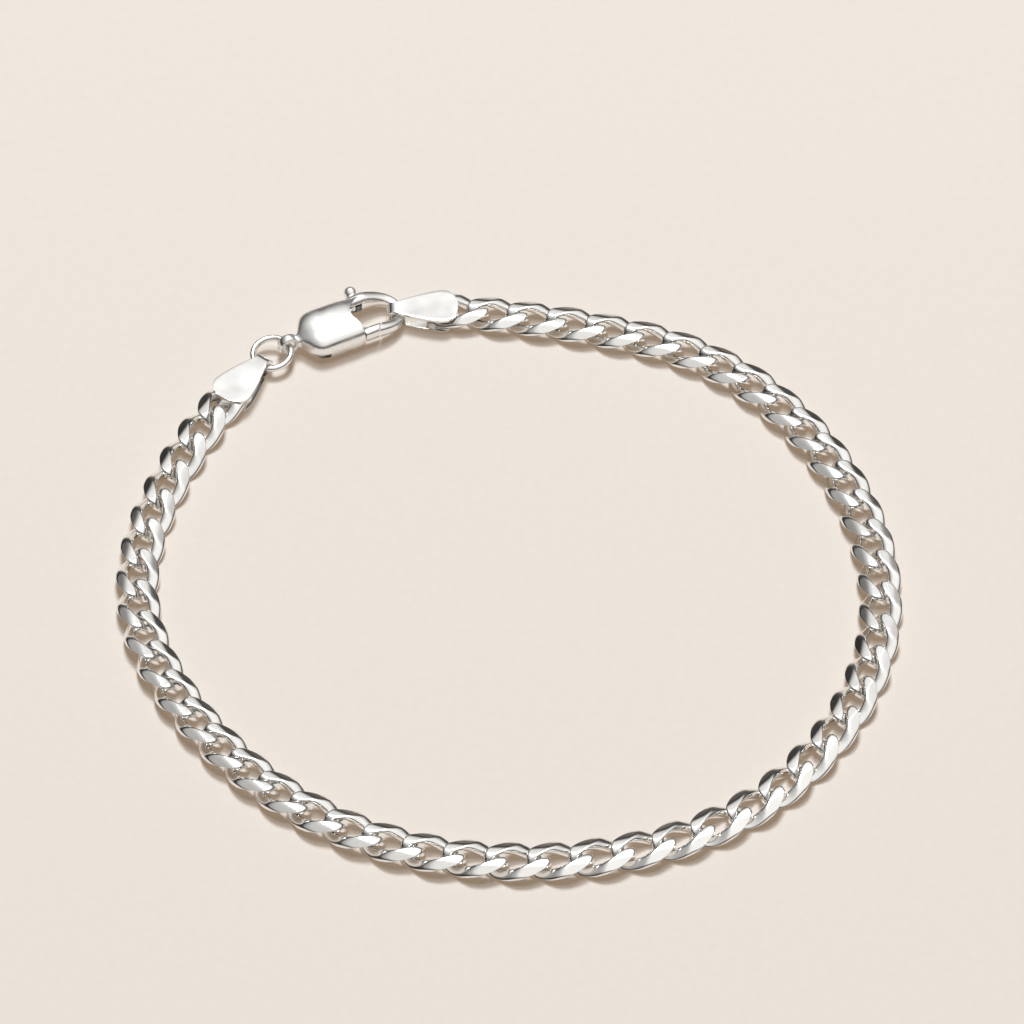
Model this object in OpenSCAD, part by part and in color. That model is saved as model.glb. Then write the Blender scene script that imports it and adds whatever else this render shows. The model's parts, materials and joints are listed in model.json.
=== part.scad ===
// A closed bracelet of flat curb links with a lobster clasp, lying on a table.
// Millimetres. The origin is at the middle of the loop's footprint, on the table, with +Z up.
// The way round the loop runs anticlockwise seen from above, from the clasp's nose to the right tag.

/* [Chain] */
// Number of loose links between the two end tags
loose_links = 48; // [44:1:52]
// Distance between the middles of neighbouring links
link_pitch = 3.37; // [3.2:0.01:3.6]
// Width of the chain
chain_w = 3.65; // [3.5:0.05:4]
// Thickness of the chain, ground flat above and below
chain_t = 1.36; // [1.2:0.02:1.5]
// Width of the flattened wire along a link's sides
wire_w = 1.08; // [0.94:0.02:1.12]
// Width of that wire round a link's ends, where the next links pass through
wire_end = 0.92; // [0.8:0.02:0.94]
// Thickness of that wire
wire_t = 0.82; // [0.7:0.02:0.86]
// Play between two links that are pulled apart
link_play = 0.22; // [0.18:0.01:0.4]
// Angle by which each end of a link is twisted out of flat
twist = 52; // [46:1:56]
// Slope of the bevels cut along the chain's edges, from upright
bevel_slope = 53; // [40:1:60]
// Depth of those bevels, measured from the corner of the chain's section
bevel_depth = 0.42; // [0.2:0.02:0.5]

/* [End tags] */
// Length of a tag from its bend to its wide end
tag_len = 6.1; // [5.5:0.1:7]
// Width of a tag at its wide end
tag_w = 3.5; // [3:0.1:4]
// Width of the strip at its bend
neck_w = 1.15; // [0.9:0.05:1.3]
// Thickness of a folded tag over both of its plates
tag_t = 1.6; // [1.5:0.05:1.8]
// Thickness of the strip that the tags are folded from
strip_t = 0.3; // [0.25:0.05:0.35]

/* [Jump ring] */
// Outer diameter of the jump ring
ring_d = 3.8; // [3.4:0.1:4.2]
// Diameter of the jump ring's wire
ring_wire = 0.55; // [0.4:0.05:0.6]
// Angle at the ring's middle between the tag and the clasp that it joins
ring_spread = 156; // [140:2:170]

/* [Clasp] */
// Length of the clasp's shell, without its tail eye
shell_len = 5.4; // [5:0.1:6]
// Width of the shell
shell_w = 4.7; // [4.4:0.1:5]
// Thickness of the shell
shell_t = 2.4; // [2.1:0.1:2.6]
// Diameter of the tail eye
eye_d = 1.9; // [1.8:0.1:2.1]
// Diameter of the hole in the tail eye
eye_hole = 1.02; // [0.96:0.02:1.1]
// Width of the tail eye
eye_w = 0.8; // [0.6:0.05:0.9]
// Reach of the hook past the shell
hook_len = 4.5; // [4.3:0.1:4.8]
// Width of the hook's wire where it leaves the shell
hook_wire = 1.25; // [1:0.05:1.4]
// Width of the hook's wire at its nose
nose_wire = 0.84; // [0.7:0.02:0.9]
// Thickness of the hook's wire at its nose
nose_t = 0.64; // [0.5:0.02:0.7]
// Diameter of the rivet that the lever turns on
rivet_d = 0.8; // [0.6:0.05:1]
// Thickness of the lever inside the shell
lever_t = 0.6; // [0.5:0.05:0.7]
// Diameter of the lever's knob
knob_d = 1.1; // [0.9:0.05:1.2]
// Play between the lever and what it moves in
lever_play = 0.1; // [0.05:0.01:0.15]

/* [Hidden] */

// Chosen points that the loop's smooth route bends towards, in order from the clasp's nose
route_points = [
    [-10.2, 23.3], [-21.5, 18.1], [-29.6, 3.7], [-32.8, -10], [-27.6, -22.4], [-17.9, -33.3], [-4.9, -38.6],
    [9.4, -38], [21.5, -32.6], [30.2, -19.8], [31.7, -6.6], [27.3, 6.8], [17.6, 17.9], [4.1, 21.2]
];
// Straight steps between two of those points
route_steps = 24;

// Sections round a link, and corners of its wire
link_sections = 16;
wire_corners = 6;
// Powers that square the link's oval and its wire's section, 1 for an ellipse
link_square = 0.8;
wire_square = 0.8;
half_l = (link_pitch + wire_end + link_play) / 2;
half_w = (chain_w - wire_w) / 2;
half_t = chain_t / 2;
bevel_reach = chain_w/2*cos(bevel_slope) + half_t*sin(bevel_slope) - bevel_depth;

// The tag's bend: how far it reaches past the middle of the wire that it holds
bend_r = tag_t / 2;
ring_reach = 0.95;
hook_reach = 1.2;
// How far the end link's middle lies inside the tag's wide end
link_inset = 0;
// Height by which the soldered end links are lifted, and the links over which that runs out
link_lift = (tag_t - chain_t) / 2;
lift_links = 4;

ring_r = (ring_d - ring_wire) / 2;
ring_chord = 2*ring_r*sin(ring_spread/2);

// The clasp's own frame: x from the tail eye to the nose, y towards the knob, z up
mid_z = shell_t / 2;
eye_wall = (eye_d - eye_hole) / 2;
shell_x = (eye_d + eye_hole) / 4;
front_x = shell_x + shell_len;
// The hook's oval: its middle, its half length and half width, and the power that squares it
hook_x = front_x + hook_len*0.32;
hook_a = hook_len*0.68 - nose_wire/2;
hook_b = (shell_w + 0.2 - hook_wire) / 2;
hook_square = 0.8;
hook_t = shell_t * 0.67;
// Where on the oval the tag pulls
pull_angle = -11;
hook_pin = [hook_x + hook_a*cos(pull_angle)^hook_square, -hook_b*sin(-pull_angle)^hook_square];
clasp_span = norm(hook_pin);
clasp_slew = atan2(hook_pin.y, hook_pin.x);
// The lever: its pivot and boss, the curved plate round the mouth, the arm and the knob
pivot_back = 1.5;
pivot_side = 0.4;
pivot = [front_x - pivot_back, -pivot_side];
boss_wall = 0.45;
boss_r = rivet_d/2 + boss_wall;
mouth = [hook_x, 0];
mouth_r = 1.62;
plate_r = 2.5;
knob_front = 1;
knob_side = 0.7;
knob_at = [front_x + knob_front, shell_w/2 + knob_side];
arm_turn = -108;
arm_len = 1.9;
// The gate, and the slanted joint where it meets the hook
gate_x = front_x + 0.12;
gate_w = 0.95;
gate_t = 1.15;
tip_at = [hook_x + 0.15, -hook_b];
tip_slant = 32;
tip_w = 1;
// The slot that the lever lies in, the dome's front edge above it, and the window in the near wall
slot_t = lever_t + 2*lever_play;
slot_z = mid_z - slot_t/2;
slot_depth = 2.65;
wall = 0.5;
arm_back = 1.75;
arm_front = 1.25;
dome_r = 2.25;
window_in = 0.95;
window_x = shell_x + window_in;
window_lap = 0.1;
window_len = front_x - slot_depth + window_lap - window_x;
window_depth = 0.8;
big = 20;

// Shell sections: place along the shell, then width and thickness, all as shares
shell_sections = [
    [0, 0.2, 0.36], [0.05, 0.26, 0.42], [0.1, 0.48, 0.56], [0.18, 0.78, 0.74], [0.28, 0.95, 0.88],
    [0.42, 1, 0.97], [0.6, 1, 1], [0.8, 1, 1], [0.93, 0.99, 0.97], [1, 0.97, 0.93]
];

// A power that keeps the sign of its base
function bent(v, p) = sign(v) * pow(abs(v), p);
function unit(v) = v / norm(v);

// A point of the smooth closed curve that the chosen points steer, one unit of t for each of them
function curve(t) =
    let (p = route_points, n = len(p), i = floor(t), u = t - i)
    ((1 - u)^3 * p[(i + n - 1) % n] + (3*u^3 - 6*u^2 + 4) * p[i % n]
        + (-3*u^3 + 3*u^2 + 3*u + 1) * p[(i + 1) % n] + u^3 * p[(i + 2) % n]) / 6;
route = [for (i = [0 : len(route_points) * route_steps]) curve(i / route_steps)];
route_run = [for (i = 0, s = 0; i < len(route);
    s = i + 1 < len(route) ? s + norm(route[i + 1] - route[i]) : s, i = i + 1) s];
route_len = route_run[len(route) - 1];
route_x = [for (i = [0 : len(route) - 1]) [route_run[i], route[i].x]];
route_y = [for (i = [0 : len(route) - 1]) [route_run[i], route[i].y]];

// The point a way s round the loop, when the loop is scaled by k
function spot(s, k) =
    let (w = s/k - route_len * floor(s / (k * route_len)))
    k * [lookup(w, route_x), lookup(w, route_y)];
// The way round from s that takes a straight piece of length d, forwards or back
function stride(s, d, k, back = false, g = -1, turns = 6) =
    turns == 0 ? g :
    let (g1 = g < 0 ? d : g, e = spot(back ? s - g1 : s + g1, k) - spot(s, k))
    stride(s, d, k, back, g1 + d - norm(e), turns - 1);

// The pieces in order round the loop: clasp, jump ring, left tag, links, right tag
left_span = tag_len - ring_reach - link_inset;
right_span = tag_len - hook_reach - link_inset;
function eye_way(k) = stride(0, clasp_span, k);
function ring_way(k) = eye_way(k) + stride(eye_way(k), ring_chord, k);
function first_way(k) = ring_way(k) + stride(ring_way(k), left_span, k);
function loop_need(k) = first_way(k) + (loose_links + 1) * link_pitch + stride(0, right_span, k, true);
function loop_fit(k, turns = 5) = turns == 0 ? k : loop_fit(loop_need(k) / route_len, turns - 1);
loop_k = loop_fit(1);
link_ways = let (s = first_way(loop_k)) [for (i = [0 : loose_links + 1]) s + i*link_pitch];

function heading(v) = atan2(v.y, v.x);
link_spots = [for (s = link_ways) spot(s, loop_k)];
link_turns = [for (s = link_ways) heading(spot(s + link_pitch/2, loop_k) - spot(s - link_pitch/2, loop_k))];
function lift(i) = link_lift * max(0, 1 - min(i, loose_links + 1 - i) / lift_links);

nose_spot = spot(0, loop_k);
eye_spot = spot(eye_way(loop_k), loop_k);
tag_spot = spot(ring_way(loop_k), loop_k);
clasp_turn = heading(nose_spot - eye_spot) - clasp_slew;

// The loop's footprint, whose middle is the origin
function aside(turn, d) = d * [cos(turn + 90), sin(turn + 90)];
rim = [for (i = [0 : loose_links + 1]) link_spots[i] - aside(link_turns[i], chain_w/2)];
knob_spot = eye_spot + knob_at.x * [cos(clasp_turn), sin(clasp_turn)] + aside(clasp_turn, knob_at.y);
middle = [min([for (p = rim) p.x]) + max([for (p = rim) p.x]),
    min([for (p = rim) p.y]) + knob_spot.y + knob_d/2] / 2;

// A solid skin over rings of points, joined end to end where it is closed
module skin(rings, closed = false) {
    n = len(rings);
    m = len(rings[0]);
    sides = [
        for (i = [0 : closed ? n - 1 : n - 2], j = [0 : m - 1])
            let (a = i*m, b = ((i + 1) % n)*m, j2 = (j + 1) % m)
            each [[a + j, b + j, b + j2], [a + j, b + j2, a + j2]]
    ];
    ends = closed ? [] : [[for (j = [0 : m - 1]) j], [for (j = [m - 1 : -1 : 0]) (n - 1)*m + j]];
    polyhedron(points = [for (r = rings) each r], faces = concat(sides, ends), convexity = 6);
}

// Chain: the wire's middle line, an oval twisted about its length
function link_line(t) =
    let (x = half_l * bent(cos(t), link_square), y = half_w * bent(sin(t), link_square),
        a = -twist * x / half_l)
    [x, y*cos(a), y*sin(a)];
// Grinding: a corner is moved onto the flat or the bevel that it stands past
function ground(p) =
    let (q = [p.x, p.y, max(-half_t, min(half_t, p.z))],
        n = [0, (q.y < 0 ? -1 : 1) * cos(bevel_slope), (q.z < 0 ? -1 : 1) * sin(bevel_slope)])
    q - max(0, q * n - bevel_reach) * n;
function link_ring(t) =
    let (p = link_line(t), a = twist * p.x / half_l,
        along = unit(link_line(t + 1) - link_line(t - 1)),
        out = unit(cross([0, sin(a), cos(a)], along)), up = cross(along, out),
        w = wire_end + (wire_w - wire_end) * sin(t)^2)
    [for (j = [0 : wire_corners - 1])
        let (c = 360 * j / wire_corners,
            v = w/2 * bent(cos(c), wire_square), h = wire_t/2 * bent(sin(c), wire_square))
        ground(p + v*out + h*up)];

module link(i) {
    translate([link_spots[i].x, link_spots[i].y, half_t + lift(i)]) rotate(link_turns[i])
        skin([for (k = [0 : link_sections - 1]) link_ring(360 * k / link_sections)], closed = true);
}

module chain() {
    color("silver") for (i = [1 : loose_links]) link(i);
}

// End tags: plates and bend in a frame whose origin is the middle of the wire that the bend holds
module tag_plate(reach) {
    bend_x = bend_r - reach;
    end_x = tag_len - reach;
    corner_r = tag_w * 0.25;
    round_r = tag_w * 0.6;
    hull() {
        translate([bend_x, -neck_w/2]) square([strip_t, neck_w]);
        for (side = [-1, 1])
            translate([end_x - corner_r*1.3, side*(tag_w/2 - corner_r)]) circle(r = corner_r, $fn = 32);
        translate([end_x - round_r, 0]) intersection() {
            circle(r = round_r, $fn = 64);
            square([2*round_r, tag_w/2], center = true);
        }
    }
}

module tag(reach) {
    bend_x = bend_r - reach;
    linear_extrude(strip_t) tag_plate(reach);
    translate([0, 0, tag_t - strip_t]) linear_extrude(strip_t) tag_plate(reach);
    translate([bend_x, neck_w/2, bend_r]) rotate([90, 0, 0]) linear_extrude(neck_w) difference() {
        circle(r = bend_r, $fn = 64);
        circle(r = bend_r - strip_t, $fn = 64);
        translate([0, -bend_r]) square(2*bend_r);
    }
}

module end_tag_left() {
    color("silver") {
        translate(tag_spot) rotate(heading(link_spots[0] - tag_spot)) tag(ring_reach);
        link(0);
    }
}

module end_tag_right() {
    last = loose_links + 1;
    color("silver") {
        translate(nose_spot) rotate(heading(link_spots[last] - nose_spot)) tag(hook_reach);
        link(last);
    }
}

// Jump ring: through the left tag's bend and the tail eye, hung a little outside their line
module jump_ring() {
    pull = eye_spot - tag_spot;
    mid = (eye_spot + tag_spot) / 2;
    color("silver") translate([mid.x, mid.y, (mid_z + bend_r)/2]) rotate(heading(pull))
        rotate([0, -atan2(mid_z - bend_r, norm(pull)), 0]) translate([0, ring_r*cos(ring_spread/2), 0])
        rotate_extrude($fn = 96) translate([ring_r, 0]) circle(d = ring_wire, $fn = 24);
}

// Clasp
module at_clasp() {
    translate(eye_spot) rotate(clasp_turn) children();
}

// Flat rounded section of a bar, square to its path
function bar_ring(p, turn, w, t, corners = 12) =
    [for (j = [0 : corners - 1])
        let (c = 360*j/corners, v = w/2 * bent(cos(c), 0.75), h = t/2 * bent(sin(c), 0.75))
        [p.x + v*cos(turn + 90), p.y + v*sin(turn + 90), p.z + h]];

// Domed above and nearly flat below
module shell_form() {
    corners = 20;
    skin([for (s = shell_sections) [for (j = [0 : corners - 1])
        let (c = 360*j/corners,
            y = bent(cos(c), c < 180 ? 0.62 : 0.4), z = bent(sin(c), c < 180 ? 0.72 : 0.4))
        [shell_x + s[0]*shell_len, s[1]*shell_w/2 * y, mid_z + s[2]*mid_z * z]]]);
}

function hook_line(t) = [hook_x + hook_a*bent(cos(t), hook_square), hook_b*bent(sin(t), hook_square)];
function hook_ring(t) =
    let (p = hook_line(t), d = hook_line(t - 1) - hook_line(t + 1), far = t > 0, e = 1 - max(0, cos(t)))
    bar_ring([p.x, p.y, mid_z - (mid_z - bend_r)*(1 - e)], heading(d),
        nose_wire + ((far ? hook_wire : tip_w) - nose_wire)*e, nose_t + ((far ? hook_t : gate_t) - nose_t)*e);

module hook() {
    skin(concat([bar_ring([front_x - wall, hook_b, mid_z], 0, hook_wire, hook_t)],
        [for (t = [90 : -12 : -90]) hook_ring(t)], [hook_ring(-98)]));
}

// The gate's side of the slanted joint between gate and hook, moved towards the gate by play
module gate_side(play) {
    translate([tip_at.x, tip_at.y]) rotate(-tip_slant) translate([-hook_len - play, -shell_w/2, 0])
        cube([hook_len, shell_w*0.8, shell_t]);
}

// Room for the lever's arm, through the far side of whatever it is cut from
module arm_room(t) {
    translate([front_x - arm_back, 0, slot_z]) cube([arm_back + arm_front, shell_w, t]);
}

module cavity() {
    translate([front_x - slot_depth, wall - shell_w/2, slot_z]) cube([big, shell_w - 2*wall, slot_t]);
    arm_room(slot_t);
    translate([window_x, -shell_w/2, slot_z - slot_t/8]) cube([window_len, window_depth, slot_t/2]);
    translate([mouth.x, mouth.y, slot_z]) cylinder(r = dome_r, h = big, $fn = 96);
    translate([mouth.x, mouth.y, -1]) cylinder(r = mouth_r + lever_play, h = big, $fn = 96);
}

module clasp_body() {
    color("silver") at_clasp() {
        difference() {
            shell_form();
            cavity();
        }
        difference() {
            hook();
            arm_room(big);
            gate_side(-lever_play/2);
        }
        translate([pivot.x, pivot.y, mid_z/2]) cylinder(d = rivet_d, h = mid_z, $fn = 48);
        translate([0, 0, mid_z]) rotate([90, 0, 0]) rotate_extrude($fn = 64)
            translate([shell_x, 0]) intersection() {
                circle(d = eye_w, $fn = 32);
                square([eye_wall, eye_w], center = true);
            }
    }
}

module lever_plate() {
    intersection() {
        difference() {
            translate(mouth) circle(r = plate_r, $fn = 96);
            translate(mouth) circle(r = mouth_r, $fn = 96);
        }
        translate([mouth.x - plate_r, wall + lever_play - shell_w/2])
            square([plate_r*0.62, shell_w - 2*wall - 2*lever_play]);
    }
    translate(pivot) circle(r = boss_r, $fn = 48);
    translate(knob_at) rotate(arm_turn) translate([0, -lever_t/2]) square([arm_len, lever_t]);
}

module clasp_lever() {
    color("gainsboro") at_clasp() difference() {
        union() {
            translate([0, 0, mid_z - lever_t/2]) linear_extrude(lever_t) lever_plate();
            translate([knob_at.x, knob_at.y, mid_z]) sphere(d = knob_d, $fn = 48);
            intersection() {
                translate([gate_x, -hook_b - gate_w/2, mid_z - gate_t/2]) cube([hook_len, gate_w, gate_t]);
                translate([gate_x, -hook_b, mid_z]) rotate([0, 90, 0])
                    cylinder(d = gate_t*1.18, h = hook_len, $fn = 48);
                gate_side(lever_play/2);
            }
        }
        translate([pivot.x, pivot.y, 0]) cylinder(d = rivet_d + lever_play, h = big, $fn = 48);
    }
}

translate(-middle) {
    chain();
    end_tag_left();
    end_tag_right();
    jump_ring();
    clasp_body();
    clasp_lever();
}
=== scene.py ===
"""Link bracelet: the looks of its chain, tags, ring, clasp and table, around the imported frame."""

import json
import math

import bmesh
import bpy
from mathutils import Matrix, Vector


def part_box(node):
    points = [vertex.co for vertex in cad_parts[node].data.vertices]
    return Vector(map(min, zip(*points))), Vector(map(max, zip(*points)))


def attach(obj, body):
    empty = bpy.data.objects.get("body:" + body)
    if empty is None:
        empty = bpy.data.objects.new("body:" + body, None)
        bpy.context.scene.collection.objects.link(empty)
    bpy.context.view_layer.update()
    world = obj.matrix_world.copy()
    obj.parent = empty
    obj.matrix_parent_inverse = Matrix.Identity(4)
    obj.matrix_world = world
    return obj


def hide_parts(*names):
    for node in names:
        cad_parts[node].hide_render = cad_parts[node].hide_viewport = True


bl_info = {
    "name": "Link Bracelet",
    "version": (1, 0, 0),
    "blender": (4, 5, 0),
    "location": "View3D > Sidebar > Bracelet",
    "description": "Builds a cut curb-link bracelet with a lobster clasp on a table",
    "category": "Add Mesh",
}

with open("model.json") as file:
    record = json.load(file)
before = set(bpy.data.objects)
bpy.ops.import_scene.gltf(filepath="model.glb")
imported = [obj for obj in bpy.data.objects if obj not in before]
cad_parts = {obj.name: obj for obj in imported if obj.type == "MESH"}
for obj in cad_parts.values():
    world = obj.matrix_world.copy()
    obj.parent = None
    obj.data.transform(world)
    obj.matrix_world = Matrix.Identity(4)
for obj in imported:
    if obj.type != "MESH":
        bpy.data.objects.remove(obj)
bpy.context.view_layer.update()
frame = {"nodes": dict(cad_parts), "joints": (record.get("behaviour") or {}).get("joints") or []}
BODY = "bracelet"
LEVER = "lever"
# Shapes are modelled in millimetres and brought to metres when they are finished
MM = 0.001
# Points of a shape that lie closer than this are made one, in millimetres
MERGE = 0.001


def size(name, description, metres):
    """A length that the user can set."""
    return bpy.props.FloatProperty(
        name=name, description=description, default=metres, unit="LENGTH", precision=5
    )


def share(name, description, value):
    """A plain number that the user can set."""
    return bpy.props.FloatProperty(name=name, description=description, default=value)


def angle(name, description, degrees):
    """An angle that the user can set."""
    return bpy.props.FloatProperty(
        name=name, description=description, default=math.radians(degrees), unit="ROTATION"
    )


def place(name, description, metres):
    """A point on the table that the user can set."""
    return bpy.props.FloatVectorProperty(
        name=name,
        description=description,
        default=metres,
        size=2,
        subtype="TRANSLATION",
        unit="LENGTH",
        precision=5,
    )


def colour(name, description, rgb):
    """A colour that the user can set."""
    return bpy.props.FloatVectorProperty(
        name=name, description=description, default=rgb, size=3, subtype="COLOR", min=0, max=1
    )


class BRACELET_PG_chain(bpy.types.PropertyGroup):
    wire_w: size("Wire width", "Width of the flattened wire along a link's sides", 0.0011)
    wire_end: size("Wire width at the ends", "Width of the wire round a link's ends", 0.00092)
    wire_t: size("Wire thickness", "Thickness of the flattened wire", 0.00082)
    wire_square: share("Wire squareness", "Power that squares the wire's section", 0.72)
    width: size("Width", "Width of the chain", 0.00365)
    thickness: size("Thickness", "Thickness between the ground faces", 0.00136)
    pitch: size("Pitch", "Distance between neighbouring links", 0.00337)
    play: size("Play", "Play between two links that are pulled apart", 0.00022)
    twist: angle("Twist", "Angle by which each end of a link is turned out of flat", 52)
    square: share("Squareness", "Power that squares the link's oval", 0.8)
    bevel_slope: angle("Bevel slope", "Slope of the bevels from upright", 66)
    bevel_depth: size("Bevel depth", "Depth of the bevels from the section's corner", 0.00038)
    soften: size("Softening", "Rounding where the ground faces run into the wire", 0.000035)
    crown: angle("Crown", "Slope of the two halves of a ground face", 3)
    sway: angle("Sway", "Largest tilt of a loose link out of its row", 1)
    lean: angle("Lean", "How far the links at the loop's left and right lean inwards", 3.5)
    lift: size("Lift", "How far the leaning links' middles are raised", 0.00006)


class BRACELET_PG_tags(bpy.types.PropertyGroup):
    length: size("Length", "Length of a tag from its bend to its wide end", 0.0061)
    width: size("Width", "Width at the wide end", 0.0035)
    neck: size("Neck", "Width at the bend", 0.00115)
    thickness: size("Thickness", "Thickness over both plates", 0.0016)
    strip: size("Strip", "Thickness of the folded strip", 0.0003)
    left_reach: size("Left reach", "How far the left bend passes the jump ring's wire", 0.00095)
    right_reach: size("Right reach", "How far the right bend passes the hook's wire", 0.0012)
    left_pin: place("Left pin", "Middle of the wire that the left bend holds", (-0.0208636, 0.0229486))
    right_pin: place("Right pin", "Middle of the wire that the right bend holds", (-0.00916882, 0.0290709))


class BRACELET_PG_ring(bpy.types.PropertyGroup):
    diameter: size("Diameter", "Outer diameter of the jump ring", 0.0038)
    wire: size("Wire", "Diameter of its wire", 0.00055)
    spread: angle("Spread", "Angle between the tag and the clasp at the ring's middle", 156)


class BRACELET_PG_clasp(bpy.types.PropertyGroup):
    tail: place("Tail eye", "Middle of the tail eye's hole", (-0.0185634, 0.0251429))
    turn: angle("Turn", "Direction from the tail eye to the nose", 25.4206)
    shell_len: size("Shell length", "Length of the shell", 0.0054)
    shell_w: size("Shell width", "Width of the shell", 0.0047)
    shell_t: size("Shell thickness", "Thickness of the shell", 0.0024)
    cheek: size("Cheek", "How far the shell's cheek by the knob passes the rest of its front", 0.0013)
    eye: size("Eye", "Diameter of the tail eye", 0.0019)
    eye_hole: size("Eye hole", "Diameter of the hole in the tail eye", 0.00102)
    eye_w: size("Eye width", "Width of the tail eye", 0.0008)
    hook_len: size("Hook length", "Reach of the hook past the shell", 0.0045)
    hook_wire: size("Hook wire", "Width of the hook at its root", 0.00125)
    nose_wire: size("Nose wire", "Width of the hook at its nose", 0.00084)
    nose_t: size("Nose thickness", "Thickness of the hook at its nose", 0.00064)
    lever_t: size("Lever thickness", "Thickness of the lever in the shell", 0.0006)
    knob: size("Knob", "Diameter of the lever's knob", 0.0012)
    play: size("Play", "Play between the lever and what it moves in", 0.0001)


class BRACELET_PG_looks(bpy.types.PropertyGroup):
    silver: colour("Silver", "Colour of the polished silver", (0.93, 0.925, 0.91))
    polish: share("Polish", "Roughness of the polished wire and tags", 0.14)
    cut_polish: share("Cut polish", "Roughness of the ground faces", 0.1)
    satin: share("Satin", "Roughness of the clasp's satin polish", 0.27)
    table: colour("Table", "Colour of the table", (0.406, 0.385, 0.369))
    # Painted fill light: the table's emission colour, which stands in for light bounced into its shadows
    # and makes them lighter and warmer
    painted_fill_glow: colour("Table glow", "Colour of the light that comes up through the table", (0.222, 0.158, 0.104))


class BRACELET_PG_view(bpy.types.PropertyGroup):
    rise: angle("Camera rise", "Height of the camera above the table, as an angle", 49.3)
    aim: place("Camera aim", "Point of the table that the camera looks at", (0.000302207, 0.00750884))
    away: size("Camera distance", "Distance of the camera", 0.57995)
    lens: share("Lens", "Focal length in millimetres on a 36 mm sensor", 246.1)
    window_rise: angle("Window rise", "Height of the window behind the bracelet, as an angle", 66)
    light_away: size("Light distance", "Distance of the window and of both panels", 1.8)
    window_size: size("Window size", "Side of the square window", 0.65)
    window_power: share("Window power", "Power of the window's light in watts", 14)
    top_rise: angle("Top panel rise", "Height of the top panel, as an angle", 86)
    top_size: size("Top panel size", "Side of the square top panel", 0.45)
    top_power: share("Top panel power", "Power of the top panel's light in watts", 9.7)
    back_rise: angle("Back panel rise", "Height of the back panel, as an angle", 60)
    back_size: size("Back panel size", "Side of the square back panel", 0.45)
    back_power: share("Back panel power", "Power of the back panel's light in watts", 35.2)
    tint: colour("Tint", "Colour of the window's and the panels' light", (0.94, 0.98, 1))
    sky: share("Sky", "Strength of the sky that the metal mirrors", 1)


def mm(metres):
    """A length in millimetres."""
    return metres / MM


def bent(value, power):
    """A power that keeps its base's sign."""
    return math.copysign(abs(value) ** power, value)


def way_at(line, t):
    """The direction in which a line runs at a point of it."""
    step = 0.02
    return (line(t + step) - line(t - step)).normalized()


def finish_piece(name, bm, materials, body, *nodes):
    """Makes a modelled shape a piece of the bracelet that rides a body in place of CAD nodes."""
    bmesh.ops.scale(bm, vec=(MM, MM, MM), verts=bm.verts)
    bmesh.ops.recalc_face_normals(bm, faces=bm.faces)
    mesh = bpy.data.meshes.new(name)
    bm.to_mesh(mesh)
    bm.free()
    obj = bpy.data.objects.new(name, mesh)
    bpy.context.scene.collection.objects.link(obj)
    for m in materials:
        mesh.materials.append(m)
    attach(obj, body)
    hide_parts(*nodes)


def stamp(bm, source, matrix):
    """Adds a placed copy of another shape."""
    mesh = bpy.data.meshes.new("stamp")
    source.to_mesh(mesh)
    mesh.transform(matrix)
    bm.from_mesh(mesh)
    bpy.data.meshes.remove(mesh)


def loft(sections):
    """A closed skin drawn out from a first ring of points through the following ones."""
    bm = bmesh.new()
    bmesh.ops.create_circle(bm, segments=len(sections[0]), radius=1)
    ring = list(bm.verts)
    for v, p in zip(ring, sections[0]):
        v.co = p
    edges = list(bm.edges)
    start = edges
    for points in sections[1:]:
        order = {v: i for i, v in enumerate(ring)}
        grown = bmesh.ops.extrude_edge_only(bm, edges=edges)["geom"]
        grown = [e for e in grown if isinstance(e, bmesh.types.BMEdge)]
        edges = [e for e in grown if all(v not in order for v in e.verts)]
        fresh = {}
        for v in {v for e in edges for v in e.verts}:
            for e in v.link_edges:
                other = e.other_vert(v)
                if other in order:
                    fresh[order[other]] = v
        ring = [fresh[i] for i in range(len(points))]
        for v, p in zip(ring, points):
            v.co = p
    bmesh.ops.contextual_create(bm, geom=start)
    bmesh.ops.contextual_create(bm, geom=edges)
    bmesh.ops.recalc_face_normals(bm, faces=bm.faces)
    return bm


def is_sharp(edge, degrees):
    """Whether an edge's two faces meet sharper than an angle."""
    return len(edge.link_faces) == 2 and edge.calc_face_angle(0) > math.radians(degrees)


def soften(bm, degrees, width, segments=2):
    """Rounds the edges that are sharper than an angle."""
    bmesh.ops.bevel(
        bm,
        geom=[e for e in bm.edges if is_sharp(e, degrees)],
        offset=width,
        offset_type="OFFSET",
        segments=segments,
        profile=0.5,
        affect="EDGES",
        material=-1,
        clamp_overlap=True,
    )


def shade(bm, degrees=40):
    """Smooth faces, with a crease wherever the surface turns sharper than an angle."""
    for f in bm.faces:
        f.smooth = True
    for e in bm.edges:
        e.smooth = not is_sharp(e, degrees)


def node_at(tree, kind, **values):
    """A shader node with its settings and unlinked inputs."""
    node = tree.nodes.new(kind)
    for key, value in values.items():
        if hasattr(node, key):
            setattr(node, key, value)
        else:
            node.inputs[key.replace("_", " ")].default_value = value
    return node


def ramp_at(tree, stops):
    """A colour ramp through stops, each a position and a colour, in rising order."""
    ramp = tree.nodes.new("ShaderNodeValToRGB")
    points = ramp.color_ramp.elements
    while len(points) < len(stops):
        points.new(0.5)
    for point, (at, rgb) in zip(points, stops):
        point.position = at
        point.color = (*rgb, 1)
    return ramp


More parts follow.
